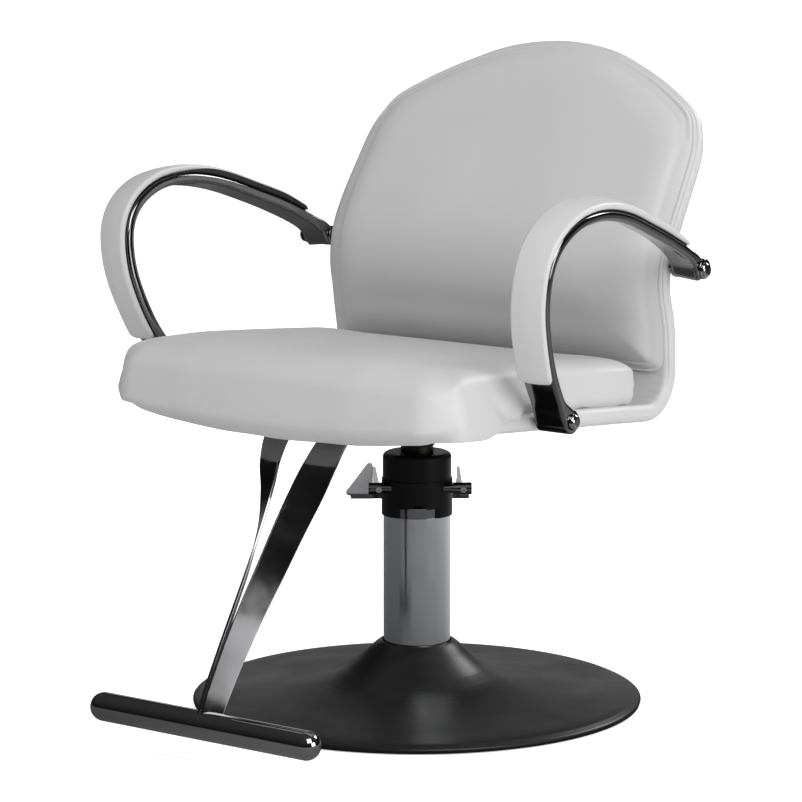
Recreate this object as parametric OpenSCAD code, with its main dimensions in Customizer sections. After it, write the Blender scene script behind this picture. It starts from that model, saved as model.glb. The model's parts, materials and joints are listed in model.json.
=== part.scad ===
// Hydraulic styling chair for a hair salon.
// Origin: centre of the base's underside, on the pump column's axis. +Z up,
// the chair faces -Y, and the sitter's left side is +X.

/* [Base] */
// Outer radius of the round base
base_r = 305; // [250:1:340]
// Thickness of the steel plate inside the base
plate_t = 8; // [6:1:14]
// Thickness of the base's spun cover
cover_t = 3; // [2:0.5:4]
// Height of the cover's hub above the floor
hub_h = 84; // [70:1:95]

/* [Pump] */
// Outer radius of the pump's chromed sleeve
sleeve_r = 45.5; // [40:0.5:52]
// Height of the top of the sleeve
sleeve_top = 258; // [230:1:280]
// Height of the top of the pump's cap
cap_top = 343; // [330:1:350]
// Radius of the ram that lifts the seat
ram_r = 16; // [14:0.5:18]
// Turn of the pump and its lever about the column, from +X
pump_turn = 38; // [0:1:90]
// Radius of the lever's cross shaft
shaft_r = 6; // [5:0.1:7]
// Height of the cross shaft
shaft_z = 297; // [290:1:300]
// Distance of the cross shaft in front of the column's axis
shaft_y = 27; // [25:0.5:28]
// Outer radius of the lever's sleeves on the shaft
hub_r = 8.2; // [7.5:0.1:9]

/* [Seat] */
// Rise of the seat towards its front, in degrees
seat_rise = 5; // [2:0.5:7]
// Height of the seat shell's underside above the column
seat_z = 404.5; // [400:0.5:410]
// Thickness of the upholstered shell under the seat and behind the back
shell_t = 24; // [22:1:28]
// Half the width of the seat cushion
cushion_half = 268; // [250:1:275]
// Distance of the seat cushion's front edge from the column
cushion_front = 333; // [310:1:340]
// Distance of the seat cushion's rear edge behind the column
cushion_rear = 123; // [110:1:130]
// Thickness of the seat cushion
cushion_t = 55; // [45:1:58]

/* [Back] */
// Distance of the upright shell's centre line behind the column
back_y = 195; // [185:1:200]
// Lean of the upper part of the back, in degrees
back_lean = 33; // [28:1:36]
// Height of the top of the back
back_top = 876; // [860:1:890]
// Thickness of the padded front of the back
pad_t = 34; // [24:1:38]

/* [Arms] */
// Width of an arm's band
arm_w = 46; // [38:1:48]
// Thickness of an arm's band
arm_t = 13; // [12:1:16]
// Distance of an arm's middle from the chair's middle, at its bolts
arm_x = 312; // [310:1:316]
// Outward tilt of an arm, in degrees
arm_tilt = 8; // [3:0.1:9]
// Thickness of the pad on an arm
arm_pad_t = 8; // [6:1:11]

/* [Footrest] */
// Distance of the foot bar in front of the column
bar_y = 451; // [430:1:470]
// Height of the foot bar's centre
bar_z = 53; // [45:1:70]
// Radius of the foot bar
bar_r = 19; // [15:0.5:20]
// Half the length of the foot bar between the centres of its domed ends
bar_half = 167; // [150:1:190]
// Width of a footrest leg's strip at its top
leg_w = 44; // [38:1:48]
// Thickness of a footrest leg's strip
leg_t = 4; // [4:0.5:6]

/* [Hidden] */
$fn = 64;
eps = 0.1;         // overshoot of a cutting body
fit = 0.05;        // radial clearance of a running fit
gap = 0.3;         // space left between pieces that only lie close

vinyl = [0.86, 0.86, 0.85];
chrome = [0.72, 0.73, 0.75];
satin_black = [0.07, 0.07, 0.07];
steel = [0.55, 0.56, 0.58];
bronze = [0.70, 0.52, 0.28];
plywood = [0.76, 0.61, 0.42];
rubber = [0.12, 0.12, 0.12];

// ---- curves in a plane -------------------------------------------------

// Points of an arc of radius r about c, from angle a0 to a1
function arc(c, r, a0, a1, n = 10) =
    [for (i = [0:n]) let (a = a0 + (a1 - a0) * i / n) c + r * [cos(a), sin(a)]];

function item(p, i) = p[max(0, min(len(p) - 1, i))];
function reversed(p) = [for (i = [len(p) - 1:-1:0]) p[i]];

// A smooth curve through the points p, with n steps in each span
function between(a, b, c, d, t) =
    0.5 * (2 * b + (c - a) * t + (2 * a - 5 * b + 4 * c - d) * t * t
    + (3 * b - a - 3 * c + d) * t * t * t);
function smooth(p, n) = concat(
    [for (i = [0:len(p) - 2]) for (k = [0:n - 1])
        between(item(p, i - 1), p[i], p[i + 1], item(p, i + 2), k / n)],
    [p[len(p) - 1]]);

// The left-hand normal of a path at its point i, and the path moved along it
function heading(p, i) = let (d = item(p, i + 1) - item(p, i - 1)) d / norm(d);
function normal(p, i) = let (h = heading(p, i)) [-h[1], h[0]];
function beside(p, t) = [for (i = [0:len(p) - 1]) p[i] + t * normal(p, i)];
function ribbon(p, lo, hi) = concat(beside(p, lo), reversed(beside(p, hi)));
function mirrored(p) = concat(p, [for (q = reversed(p)) [-q[0], q[1]]]);

// A flat strip along stations of X, Y, Z, the turn of its width from X, and its width.
// Its thickness runs from lo to hi on its outer side.
function unit(v) = v / norm(v);
function point3(s) = [s[0], s[1], s[2]];
function heading3(p, i) = unit(point3(item(p, i + 1)) - point3(item(p, i - 1)));
function across(p, i) = let (t = heading3(p, i), flat = unit([1, 0, 0] - t[0] * t))
    flat * cos(p[i][3]) + cross(flat, t) * sin(p[i][3]);
function outward(p, i) = unit(cross(across(p, i), heading3(p, i)));

module strip(p, lo, hi) {
    last = len(p) - 1;
    corners = [[-0.5, lo], [0.5, lo], [0.5, hi], [-0.5, hi]];
    points = [for (i = [0:last]) for (c = corners)
        point3(p[i]) + across(p, i) * c[0] * p[i][4] + outward(p, i) * c[1]];
    walls = [for (i = [0:last - 1]) for (j = [0:3])
        let (a = i * 4 + j, b = i * 4 + (j + 1) % 4) each [[a, b, b + 4], [a, b + 4, a + 4]]];
    polyhedron(points, concat(walls, [[3, 2, 1, 0], [for (j = [0:3]) last * 4 + j]]));
}

// An outline drawn in Y and Z, thickened to w along X about the middle
module along_x(w) { rotate([90, 0, 90]) linear_extrude(w, center = true) children(); }
// An outline drawn in X and Z, swept from y0 to y1
module along_y(y0, y1) { translate([0, y1, 0]) rotate([90, 0, 0]) linear_extrude(y1 - y0) children(); }
// A rod along X, and a ring about Z
module rod_x(r, x0, x1) { translate([x0, 0, 0]) rotate([0, 90, 0]) cylinder(h = x1 - x0, r = r); }
module ring(r0, r1, z0, z1) {
    translate([0, 0, z0]) difference() {
        cylinder(h = z1 - z0, r = r1);
        translate([0, 0, -eps]) cylinder(h = z1 - z0 + 2 * eps, r = r0);
    }
}
module around(n, r, turn = 0) {
    for (i = [0:n - 1]) rotate([0, 0, turn + 360 * i / n]) translate([r, 0, 0]) children();
}

// ---- base --------------------------------------------------------------

bolt_ring = 62;    // radius of the circle of flange bolts
flange_top = plate_t + 10;

// The base cover's outside, from its rim up to its hub
cover_line = smooth([[base_r - 1, 1], [base_r, 6], [base_r - 5, 9.5], [base_r - 17, 13],
    [base_r - 60, 17], [190, 22.5], [130, 32], [100, 44], [82, 56], [70, 66],
    [60, 76], [52, hub_h - 1.5], [sleeve_r + 2, hub_h]], 4);

module base_plate() {
    color(steel) difference() {
        cylinder(h = plate_t, r = base_r - 16, $fn = 128);
        around(4, bolt_ring, 45) translate([0, 0, 2]) cylinder(h = plate_t, r = 5);
    }
}

module edge_trim() {
    color(rubber) ring(base_r - 14, base_r - 5, 0, 5, $fn = 128);
}

module base_cover() {
    color(satin_black) rotate_extrude($fn = 128) polygon(ribbon(cover_line, 0, cover_t));
}

module hub_gasket() {
    color(rubber) ring(sleeve_r, sleeve_r + 1.8, hub_h - 14, hub_h - 4);
}

// ---- pump --------------------------------------------------------------

cylinder_r = 28;
bore_r = 24;
plunger_at = [33, 3];      // place of the plunger beside the cylinder
window_half = 35;
head_r = sleeve_r + 2.5;
head_top = 307;

module pump_turned() { rotate([0, 0, pump_turn]) children(); }

module pump_flange() {
    color(steel) difference() {
        translate([0, 0, plate_t]) cylinder(h = flange_top - plate_t, r = 80);
        around(4, bolt_ring, 45) translate([0, 0, plate_t - eps]) cylinder(h = 20, r = 5.3);
    }
}

module flange_bolts() {
    color(steel) around(4, bolt_ring, 45) {
        translate([0, 0, 2]) cylinder(h = flange_top - 2, r = 5);
        translate([0, 0, flange_top]) cylinder(h = 7, r = 9, $fn = 6);
    }
}

module pump_sleeve() {
    color(chrome) ring(sleeve_r - 3, sleeve_r, flange_top, sleeve_top);
}

module pump_cylinder() {
    color(steel) difference() {
        translate([0, 0, flange_top]) cylinder(h = sleeve_top - flange_top, r = cylinder_r);
        translate([0, 0, flange_top + 8]) cylinder(h = sleeve_top, r = bore_r);
    }
}

module plunger_barrel() {
    color(steel) pump_turned() translate(concat(plunger_at, 180)) difference() {
        cylinder(h = sleeve_top - 180, r = 5);
        translate([0, 0, 6]) cylinder(h = 100, r = 3.55);
    }
}

module collar_ring() {
    color(steel) pump_turned() difference() {
        translate([0, 0, sleeve_top]) cylinder(h = 14, r = sleeve_r - 1);
        translate([0, 0, sleeve_top - eps]) cylinder(h = 20, r = ram_r + 4);
        translate(concat(plunger_at, sleeve_top - eps)) cylinder(h = 20, r = 7);
    }
}

module pump_head() {
    color(satin_black) pump_turned() difference() {
        translate([0, 0, sleeve_top]) cylinder(h = head_top - sleeve_top, r = head_r);
        translate([0, 0, sleeve_top - eps]) cylinder(h = 14.1, r = sleeve_r - 1);
        translate([0, 0, sleeve_top]) cylinder(h = 60, r = ram_r + 4);
        // opening over the collar ring, with an arched top
        translate([0, -head_r, 0]) {
            translate([-window_half, -20, sleeve_top - 1]) cube([2 * window_half, 30, 14]);
            translate([0, 10, sleeve_top + 2]) rotate([90, 0, 0]) cylinder(h = 30, r = 17);
        }
        translate([0, -shaft_y, shaft_z]) rod_x(shaft_r + fit, -60, 60);
        // room for the finger on the shaft and for the plunger below it
        translate([plunger_at[0] - 5.5, -shaft_y, sleeve_top + 10])
            cube([9.5, shaft_y + plunger_at[1] + 8, head_top - sleeve_top - 11]);
        translate(concat(plunger_at, sleeve_top)) cylinder(h = head_top - sleeve_top - 6, r = 7);
    }
}

cap_line = concat([[ram_r + 4, head_top], [head_r - 1.5, head_top]],
    arc([head_r - 8.5, cap_top - 7], 7, 0, 90, 6), [[ram_r + 4, cap_top]]);

module pump_cap() {
    color(satin_black) pump_turned() difference() {
        rotate_extrude() polygon(cap_line);
        around(4, 31, 45) translate([0, 0, cap_top - 22]) cylinder(h = 30, r = 3.1);
        around(4, 31, 45) translate([0, 0, cap_top - 5]) cylinder(h = 30, r = 5.5);
    }
}

module cap_screws() {
    color(steel) pump_turned() around(4, 31, 45) translate([0, 0, cap_top - 22]) difference() {
        union() {
            cylinder(h = 17, r = 3);
            translate([0, 0, 17]) cylinder(h = 5, r = 5.2);
        }
        translate([0, 0, 19]) cylinder(h = 5, r = 2.6, $fn = 6);
    }
}

module guide_bush() {
    color(bronze) ring(ram_r + fit, ram_r + 4, 262, cap_top - 5);
}

module ram_wiper() {
    color(rubber) ring(ram_r + fit, ram_r + 4, cap_top - 5, cap_top);
}

// ---- lever -------------------------------------------------------------
// Drawn with X along the shaft and Y away from it, towards the pedal

sleeve_in = 47.6;    // inner end of each sleeve
sleeve_left = -66;   // outer ends of the two sleeves
sleeve_right = 73;
prong_left = [-55, -57];  // X of each prong at the shaft and at its far end
prong_right = [57, 60];
tip = [150, 292];    // far end of a prong, in Y and Z
cross_y = 80;        // the crossbar that joins the prongs behind the column
cross_z = 267;
pedal_x = -96;       // left end of the crossbar and pedal

module on_shaft() { pump_turned() translate([0, -shaft_y, shaft_z]) children(); }

module cross_shaft() {
    color(chrome) on_shaft() rod_x(shaft_r, sleeve_left + 2, sleeve_right - 2);
}

module prong(x) {
    hull() {
        translate([x[0], -shaft_y + hub_r, shaft_z]) rod_x(5, -3.5, 3.5);
        translate([x[1], tip[0], tip[1]]) rod_x(3, -2, 2);
    }
    hull() {
        translate([x[0], 30, shaft_z - 1]) rod_x(4, -3, 3);
        translate([x[0], cross_y, cross_z]) rod_x(4, -3, 3);
    }
}

module lever_fork() {
    color(chrome) pump_turned() difference() {
        union() {
            translate([0, -shaft_y, shaft_z]) {
                rod_x(hub_r, sleeve_left, -sleeve_in);
                rod_x(hub_r, sleeve_in, sleeve_right);
            }
            prong(prong_left);
            prong(prong_right);
            translate([0, cross_y, cross_z]) rod_x(4, pedal_x + 6, sleeve_right);
        }
        translate([0, -shaft_y, shaft_z]) rod_x(shaft_r, sleeve_left - 1, sleeve_right + 1);
    }
}

// A three-cornered plate from the crossbar up to the left prong's tip
module foot_pedal() {
    rise = atan2(tip[1] - cross_z, tip[0] - cross_y);
    reach = norm([tip[0] - cross_y, tip[1] - cross_z]);
    weld_x = prong_left[0] - 4;
    color(chrome) pump_turned() translate([0, cross_y, cross_z]) rotate([rise, 0, 0])
        translate([0, 0, 4.2]) {
            linear_extrude(3) polygon(concat(arc([pedal_x + 7, 0], 7, 140, 270, 6),
                [[weld_x, -7]], arc([weld_x - 4, reach], 4, 0, 150, 4)));
            translate([pedal_x + 7, -7, -5]) cube([weld_x - pedal_x - 7, 2.5, 6]);
        }
}

screw_left = -52;
screw_right = 62;

module set_screws() {
    color(chrome) on_shaft() for (x = [screw_left, screw_right])
        translate([x, -hub_r - 0.05, 0]) rotate([90, 0, 0]) difference() {
            cylinder(h = 3, r = 4);
            translate([0, 0, 1]) cylinder(h = 4, r = 2, $fn = 6);
        }
}

// The finger inside the pump's head that presses the plunger
module shaft_finger() {
    reach = shaft_y + plunger_at[1];
    color(steel) pump_turned() translate([plunger_at[0] - 1, -shaft_y, shaft_z]) {
        translate([0, reach, 0]) rod_x(4, -3, 3);
        translate([-3, shaft_r, -3.5]) cube([6, reach - shaft_r, 7]);
    }
}

// ---- plunger -----------------------------------------------------------

plunger_top = shaft_z - 4.6;
spring_turns = 6;
spring_r = 4.9;
wire_r = 0.7;

module plunger() {
    color(steel) pump_turned() translate(concat(plunger_at, 0)) {
        translate([0, 0, 218]) cylinder(h = plunger_top - 218, r = 3.5);
        translate([0, 0, plunger_top - 4]) cylinder(h = 4, r = 6);
    }
}

// Points of a ring of the spring's wire at each step along its helix
function spring_ring(k, n, h, sides) = let (a = 360 * spring_turns * k / n)
    [for (j = [0:sides - 1]) let (b = 360 * j / sides, r = spring_r + wire_r * cos(b))
        [r * cos(a), r * sin(a), h * k / n + wire_r * sin(b)]];

module plunger_spring() {
    h = plunger_top - 4 - sleeve_top - 2 * wire_r - 0.2;
    n = spring_turns * 16;
    sides = 6;
    points = [for (k = [0:n]) each spring_ring(k, n, h, sides)];
    walls = [for (k = [0:n - 1]) for (j = [0:sides - 1])
        [k * sides + j, (k + 1) * sides + j, (k + 1) * sides + (j + 1) % sides, k * sides + (j + 1) % sides]];
    ends = [[for (j = [0:sides - 1]) j], [for (j = [sides - 1:-1:0]) n * sides + j]];
    color(steel) pump_turned() translate(concat(plunger_at, sleeve_top + wire_r + 0.1))
        polyhedron(points, concat(walls, ends));
}

// ---- ram ---------------------------------------------------------------

piston_z = 40;
ram_shoulder = cap_top + 0.5;
washer_z = ram_shoulder + 6;
boss_z = washer_z + 3 + gap;
spigot_r = 14;
boss_r = 24;

module ram_rod() {
    color(chrome) {
        translate([0, 0, piston_z]) cylinder(h = ram_shoulder - piston_z, r = ram_r);
        translate([0, 0, ram_shoulder]) cylinder(h = 6, r = boss_r - 2);
        translate([0, 0, washer_z]) cylinder(h = 36, r = spigot_r);
    }
}

module ram_piston() {
    color(steel) difference() {
        translate([0, 0, piston_z]) cylinder(h = 24, r = bore_r - 0.1);
        translate([0, 0, piston_z - eps]) cylinder(h = 30, r = ram_r);
        ring(bore_r - 3, bore_r + 1, piston_z + 9, piston_z + 15);
    }
}

module piston_seal() {
    color(rubber) ring(bore_r - 3, bore_r - fit, piston_z + 9, piston_z + 15);
}

module thrust_washer() {
    color(bronze) ring(spigot_r, boss_r - 2, washer_z, washer_z + 3);
}

// ---- seat: placed on a plane that rises towards the front ---------------

module on_seat() { translate([0, 0, seat_z]) rotate([-seat_rise, 0, 0]) children(); }

plate_half = 90;
rail_w = 28;
frame_t = 14;

module swivel_boss() {
    color(satin_black) difference() {
        translate([0, 0, boss_z]) cylinder(h = seat_z - boss_z + 2, r = boss_r);
        translate([0, 0, boss_z - eps]) cylinder(h = 36, r = spigot_r + fit);
        on_seat() translate([-60, -60, -6]) cube([120, 120, 40]);
    }
}

module mount_plate() {
    color(satin_black) on_seat() difference() {
        translate([-plate_half, -plate_half, -6]) cube([2 * plate_half, 2 * plate_half, 6]);
        for (x = [-70, 70]) for (y = [-70, 70]) translate([x, y, -8]) cylinder(h = 12, r = 4.3);
    }
}

module mount_bolts() {
    color(steel) on_seat() for (x = [-70, 70]) for (y = [-70, 70]) translate([x, y, -6]) {
        cylinder(h = 22, r = 4);
        translate([0, 0, -5]) cylinder(h = 5, r = 7.5, $fn = 6);
    }
}

// ---- shell: one path in Y and Z runs under the seat and up the back -----

pan_front = -235;
corner_r = 50;
mid = shell_t / 2;

function pan_z(y) = seat_z + 0.1 + mid / cos(seat_rise) - y * tan(seat_rise);
corner_y = back_y - corner_r;
tangent_y = corner_y - corner_r * sin(seat_rise);
tangent_z = pan_z(tangent_y);
corner_z = tangent_z + corner_r * cos(seat_rise);

// The back goes forward to a lumbar bend, and leans away above it
lean_from = [back_y + 11, 652];
lean_to = lean_from + (back_top - lean_from[1] + 20) * [tan(back_lean), 1];
back_points = [[back_y, corner_z], [back_y - 8, 520], [back_y - 17, 566], [back_y - 11, 608],
    lean_from, lean_from + 0.3 * (lean_to - lean_from), lean_to];
back_curve = smooth(back_points, 5);

shell_line = concat(
    [[pan_front, pan_z(pan_front)]],
    arc([corner_y, corner_z], corner_r, -90 - seat_rise, -8, 9), back_curve);
// The same path, without the corner
back_line = back_curve;

// The front view of the shell: sides, rounded shoulders and a low arched top
function front_half(m) = smooth([[281 - m, 380], [281 - m, 440], [284 - m, 510], [282 - m, 575],
    [282 - m, 640], [279 - m, 690], [274 - m, 738], [264 - m, 768 - m / 2], [245 - m, 790 - m],
    [205 - m / 2, 815 - m], [150 - m / 2, 843 - m], [80, 865 - m], [0, back_top - m]], 4);
module front_view(m) { along_y(-300, 480) polygon(mirrored(front_half(m))); }

module shell_solid(half_t, m) {
    intersection() {
        along_x(600) polygon(ribbon(shell_line, -half_t, half_t));
        front_view(m);
    }
}

rail_z = 5.5;      // underside of a side rail above the shell's underside
bolt_low = [-119, 433];    // arm bolts in Y and Z
bolt_high = [185, 596.5];
arm_bolts_yz = [bolt_low, bolt_high];
insert_r = 6;
bolt_r = 4;

module side_rails() {
    on_seat() for (x = [-1, 1]) translate([x * 257 - rail_w / 2, -220, rail_z]) cube([rail_w, 320, 18]);
}
module at_arm_bolts() { for (b = arm_bolts_yz) translate([0, b[0], b[1]]) children(); }

module shell_frame() {
    color(plywood) difference() {
        union() {
            shell_solid(frame_t / 2, 10);
            side_rails();
        }
        at_arm_bolts() {
            rod_x(insert_r, 230, 300);
            rod_x(insert_r, -300, -230);
        }
        at_leg_screws() cylinder(h = 14, r = 3);
        on_seat() for (x = [-70, 70]) for (y = [-70, 70]) translate([x, y, 0]) cylinder(h = 16, r = 4);
    }
}

module shell_cover() {
    color(vinyl) difference() {
        shell_solid(shell_t / 2, 0);
        shell_solid(frame_t / 2, 10);
        side_rails();
        at_arm_bolts() {
            rod_x(bolt_r + 1, -300, 300);
            rod_x(insert_r, 231, 269);
            rod_x(insert_r, -269, -231);
        }
        at_leg_screws() cylinder(h = 14, r = 3);
        on_seat() for (x = [-70, 70]) for (y = [-70, 70]) translate([x, y, -1]) cylinder(h = 12, r = 4);
    }
}

module underside_panel() {
    color(rubber) on_seat() difference() {
        translate([-235, -200, -2]) cube([470, 300, 2]);
        translate([-plate_half - 2, -plate_half - 2, -5]) cube([2 * plate_half + 4, 2 * plate_half + 4, 8]);
        for (x = [-1, 1]) translate([x * 45 - 25, -210, -5]) cube([50, 125, 8]);
    }
}

// ---- cushions ------------------------------------------------------------

cushion_z = shell_t + 2;      // underside of the seat cushion, in the seat's own frame
nose_z = -28;                 // lowest point of its rolled front edge
nose_back = -252;

function cushion_side() = let (top = cushion_z + cushion_t, f = -cushion_front) concat(
    [[nose_back, cushion_z], [nose_back, nose_z + 12]],
    arc([nose_back - 12, nose_z + 12], 12, 0, -90, 4),
    smooth([[f + 45, nose_z + 1], [f + 14, nose_z + 8], [f + 1, 4], [f, 24], [f + 6, 46],
        [f + 20, 66], [f + 48, top - 4], [f + 110, top + 1], [-90, top + 3]], 4),
    [[60, top + 1]],
    arc([cushion_rear - 26, top - 26], 26, 90, 0, 6),
    [[cushion_rear, cushion_z]]);

// The cushion seen from the front: a bowed underside and rounded sides
cushion_face = smooth([[0, nose_z], [100, -25], [170, -19], [220, -12], [250, -4], [266, 10],
    [cushion_half + 5, 30], [cushion_half + 4, 50], [264, 67], [247, 78], [205, 84], [110, 87],
    [0, 88]], 3);

function cushion_plan() = let (h = cushion_half + 6, f = -cushion_front, r = 58) mirrored(concat(
    [[0, cushion_rear]], reversed(arc([h - 14, cushion_rear - 14], 14, 0, 90, 5)),
    reversed(arc([h - r, f + r + 10], r, -78, 0, 8)), [[h / 2, f + 2.5], [0, f]]));

module seat_board_solid(g) {
    translate([-240 - g, -225 - g, cushion_z - g]) cube([480 + 2 * g, 330 + 2 * g, 10 + 2 * g]);
}

module seat_board() { color(plywood) on_seat() seat_board_solid(0); }

module seat_cushion() {
    color(vinyl) on_seat() difference() {
        intersection() {
            along_x(600) polygon(cushion_side());
            translate([0, 0, -40]) linear_extrude(160) polygon(cushion_plan());
            along_y(-400, 200) polygon(mirrored(cushion_face));
        }
        seat_board_solid(0);
    }
}

board_t = 6;
// The board starts above the pad's rounded lower edge
board_line = [for (i = [2:len(back_line) - 1]) back_line[i]];

module back_board() {
    color(plywood) intersection() {
        along_x(600) polygon(ribbon(board_line, mid + 1, mid + 1 + board_t));
        front_view(40);
    }
}

// The padded front of the back is crowned, in steps of height and inset
crown = [[10, 6], [24, 24], [pad_t, 44]];

module back_cushion() {
    color(vinyl) difference() {
        for (step = crown) intersection() {
            along_x(600) polygon(ribbon(back_line, mid + 1, mid + step[0]));
            front_view(step[1]);
        }
        back_board();
    }
}

// ---- arms: a band bent in the Y-Z plane, leaning outwards above its bolts --

arm_points = [bolt_low, [-147, 461], [-179, 506], [-203, 560], [-212, 602], [-208, 642],
    [-188, 671], [-151, 691], [-107, 698], [-62, 695.5], [-12, 685], [44, 666], [98, 646],
    [144, 625], bolt_high];
arm_line = smooth(arm_points, 4);
bolt_line = unit(bolt_high - bolt_low);
function lean_at(q) = sin(arm_tilt) * ((q - bolt_low) * [-bolt_line[1], bolt_line[0]]);
arm_path = [for (i = [1:len(arm_line) - 2]) let (q = arm_line[i])
    [arm_x + lean_at(q), q[0], q[1], 0, arm_w]];
pad_from = 8;      // first and last station of the pad
pad_to = 52;
pad_path = [for (i = [pad_from:pad_to]) arm_path[i]];
base_path = [for (s = pad_path) [s[0], s[1], s[2], s[3], arm_w - 6]];
lug_r = 16;
face_x = arm_w / 2 + 1.5;
screw_places = [14, 28, 44];

module at_pad_screws() {
    for (i = screw_places) let (v = outward(arm_path, i))
        translate(point3(arm_path[i])) rotate([0, acos(v[2]), atan2(v[1], v[0])]) children();
}

module arm() {
    color(chrome) difference() {
        union() {
            strip(arm_path, -arm_t / 2, arm_t / 2);
            at_arm_bolts() rod_x(lug_r, arm_x - arm_w / 2 - 1, arm_x + face_x);
        }
        at_arm_bolts() rod_x(bolt_r + 0.3, arm_x - 40, arm_x + 40);
        at_pad_screws() {
            translate([0, 0, -20]) cylinder(h = 40, r = 2.2);
            translate([0, 0, -20]) cylinder(h = 20 - arm_t / 2 + 3, r = 4.2);
        }
    }
}

base_in = arm_t / 2 + 0.2;     // inner face of the backing under an arm's pad
pad_in = base_in + 2;

module arm_pad_base() {
    color(satin_black) difference() {
        strip(base_path, base_in, pad_in);
        at_pad_screws() cylinder(h = 40, r = 2);
    }
}

module arm_pad() {
    color(vinyl) difference() {
        strip(pad_path, pad_in + 0.2, pad_in + arm_pad_t);
        at_pad_screws() cylinder(h = arm_t / 2 + 6, r = 2);
    }
}

module pad_screws() {
    color(steel) at_pad_screws() {
        translate([0, 0, -arm_t / 2 + 3]) cylinder(h = arm_t + 3, r = 2);
        translate([0, 0, -arm_t / 2 + 0.5]) cylinder(h = 2.5, r = 4);
    }
}

module arm_bolts() {
    color(chrome) at_arm_bolts() {
        rod_x(bolt_r, 240, arm_x + face_x);
        translate([arm_x + face_x, 0, 0]) rotate([0, 90, 0])
            rotate_extrude() polygon(concat([[0, 0]], arc([5, 1.5], 5.5, 0, 90, 6), [[0, 7]]));
    }
}

spacer_x = 284.5;    // inner face of a spacer, against the shell

module arm_spacers() {
    color(chrome) at_arm_bolts() translate([spacer_x, 0, 0]) rotate([0, 90, 0])
        ring(bolt_r + 0.3, 7.5, 0, arm_x - arm_w / 2 - 1 - spacer_x);
}

module arm_inserts() {
    color(steel) at_arm_bolts() translate([232, 0, 0]) rotate([0, 90, 0])
        ring(bolt_r, insert_r, 0, 36);
}

module to_right() { mirror([1, 0, 0]) children(); }

// ---- footrest: two strips that twist a quarter turn on their way down -----

function under_pan(y) = seat_z - y * tan(seat_rise) - leg_t / 2 - 0.5;
leg_path = smooth([[46, -112, under_pan(-112), 0, leg_w], [46, -160, under_pan(-160), 0, leg_w],
    [46, -203, 415, 0, leg_w], [46, -237, 398, 4, leg_w], [41, -262, 366, 18, leg_w],
    [32, -280, 330, 34, leg_w], [24, -303, 290, 47, 0.96 * leg_w],
    [18.5, -335, 240, 53, 0.9 * leg_w], [14.5, -370, 190, 55, 0.82 * leg_w],
    [12, -405, 138, 56, 0.75 * leg_w], [10.5, -438, 84, 57, 0.68 * leg_w],
    [10, -447, 66, 57, 0.66 * leg_w]], 3);
leg_screw_y = [-130, -165];

module at_leg_screws() {
    for (x = [-46, 46]) for (y = leg_screw_y) translate([x, y, under_pan(y) - 4])
        rotate([-seat_rise, 0, 0]) children();
}

module footrest_leg() {
    color(chrome) difference() {
        strip(leg_path, -leg_t / 2, leg_t / 2);
        translate([0, -bar_y, bar_z]) rod_x(bar_r, -60, 60);
        at_leg_screws() cylinder(h = 22, r = 3.3);
    }
}

module footrest_bar() {
    color(chrome) translate([0, -bar_y, bar_z]) difference() {
        rod_x(bar_r, -bar_half, bar_half);
        rod_x(bar_r - 2, -bar_half - 1, bar_half + 1);
    }
}

module footrest_caps() {
    color(chrome) translate([0, -bar_y, bar_z]) for (x = [-1, 1]) difference() {
        translate([x * bar_half, 0, 0]) union() {
            sphere(r = bar_r);
            rotate([0, -x * 90, 0]) cylinder(h = 22, r = bar_r - 2);
        }
        difference() {
            translate([x * (bar_half - 30), 0, 0]) rod_x(bar_r + 1, -30, 30);
            rod_x(bar_r - 2, -bar_half - 30, bar_half + 30);
        }
    }
}

module leg_screws() {
    color(steel) at_leg_screws() {
        cylinder(h = 14, r = 3);
        translate([0, 0, -2.5]) cylinder(h = 3.8, r = 5.5);
    }
}

base_plate();
edge_trim();
base_cover();
hub_gasket();
pump_flange();
flange_bolts();
pump_sleeve();
pump_cylinder();
plunger_barrel();
collar_ring();
pump_head();
pump_cap();
cap_screws();
guide_bush();
ram_wiper();
cross_shaft();
lever_fork();
foot_pedal();
set_screws();
shaft_finger();
plunger();
plunger_spring();
ram_rod();
ram_piston();
piston_seal();
thrust_washer();
swivel_boss();
mount_plate();
mount_bolts();
shell_frame();
shell_cover();
underside_panel();
seat_board();
seat_cushion();
back_board();
back_cushion();
arm();  // arm_left
to_right() arm();  // arm_right
arm_pad_base();  // arm_pad_base_left
to_right() arm_pad_base();  // arm_pad_base_right
arm_pad();  // arm_pad_left
to_right() arm_pad();  // arm_pad_right
pad_screws();  // pad_screws_left
to_right() pad_screws();  // pad_screws_right
arm_bolts();  // arm_bolts_left
to_right() arm_bolts();  // arm_bolts_right
arm_spacers();  // arm_spacers_left
to_right() arm_spacers();  // arm_spacers_right
arm_inserts();  // arm_inserts_left
to_right() arm_inserts();  // arm_inserts_right
footrest_leg();  // footrest_leg_left
to_right() footrest_leg();  // footrest_leg_right
footrest_bar();
footrest_caps();
leg_screws();
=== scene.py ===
import json
import math

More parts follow.
